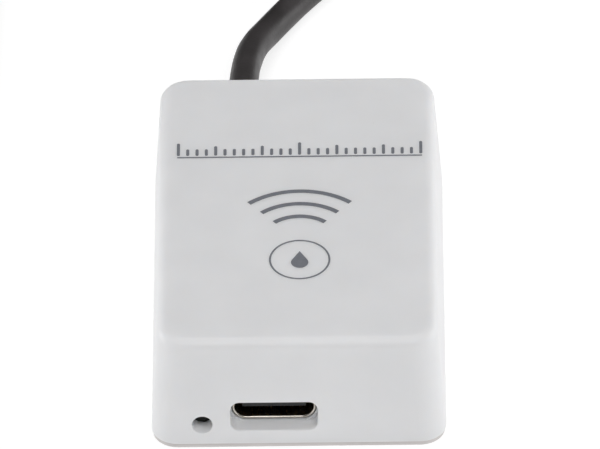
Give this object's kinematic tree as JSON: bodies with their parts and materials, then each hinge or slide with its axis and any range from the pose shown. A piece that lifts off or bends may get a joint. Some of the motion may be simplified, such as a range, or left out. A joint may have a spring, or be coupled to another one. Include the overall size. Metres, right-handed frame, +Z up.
{
  "type": "wireless humidity sensor",
  "caption": "Small drafted white plastic wireless sensor case with a USB-C socket, a reset pinhole and a slotted humidity probe on a coiled black lead.",
  "frame": {"origin": "on the table under the middle of the case", "axes": "+Z up, +Y from the socket end towards the lead end, +X to the right seen from the socket end"},
  "size_m": [0.0615, 0.1242, 0.0138],
  "materials": {
    "case_white": "fine satin moulded ABS",
    "cover_white": "fine matt moulded ABS",
    "screw_zinc": "zinc plated",
    "board_black": "black solder mask",
    "socket_steel": "bright nickel-plated stamping",
    "black_nylon": "moulded glass-filled nylon",
    "contact_gold": "gold flash",
    "switch_steel": "stamped stainless",
    "can_tin": "tinned steel sheet",
    "antenna_copper": "gold-flashed copper",
    "module_black": "black solder mask",
    "chip_epoxy": "moulded epoxy",
    "ceramic_tan": "fired ceramic",
    "solder_tin": "tin",
    "led_lens": "clear epoxy over phosphor",
    "nylon_ivory": "natural nylon",
    "wire_red": "PVC",
    "wire_black": "PVC",
    "wire_yellow": "PVC",
    "wire_white": "PVC",
    "lead_black": "matt PVC jacket",
    "tie_nylon": "natural nylon",
    "tie_black": "coated wire tie",
    "rubber_black": "moulded rubber",
    "probe_black": "matt moulded ABS",
    "filter_white": "porous PTFE"
  },
  "bodies": {
    "housing": {"top_shell": "case_white", "base_cover": "cover_white", "cover_screws": "screw_zinc", "main_board": "board_black", "usb_shell": "socket_steel", "usb_tongue": "black_nylon", "usb_contacts": "contact_gold", "reset_switch_body": "black_nylon", "switch_dome": "switch_steel", "switch_cover": "switch_steel", "switch_terminals": "solder_tin", "radio_board": "module_black", "radio_can": "can_tin", "radio_antenna": "antenna_copper", "voltage_regulator": "chip_epoxy", "regulator_leads": "solder_tin", "chip_capacitors": "ceramic_tan", "capacitor_ends": "solder_tin", "chip_resistors": "chip_epoxy", "resistor_ends": "solder_tin", "status_led": "led_lens", "wire_header": "nylon_ivory", "header_pins": "contact_gold", "wire_plug": "nylon_ivory", "wire_red": "wire_red", "wire_black": "wire_black", "wire_yellow": "wire_yellow", "wire_white": "wire_white", "jacket_end": "lead_black", "strain_tie": "tie_nylon", "cable_grommet": "rubber_black", "sensor_lead": "lead_black", "cable_coil": "lead_black", "coil_tie": "tie_black", "lead_tail": "lead_black", "probe_boot": "rubber_black", "probe_body": "probe_black", "probe_cap": "probe_black", "probe_filter": "filter_white", "probe_board": "board_black", "sensor_chip": "chip_epoxy", "probe_capacitor": "ceramic_tan"},
    "reset_button": {"reset_plunger": "black_nylon"}
  },
  "joints": [
    {"name": "reset_press", "type": "slide", "parent": "housing", "child": "reset_button", "axis": [0, 1, 0], "range_m": [0, 0.00025], "stiffness_N_per_m": 2000}
  ]
}
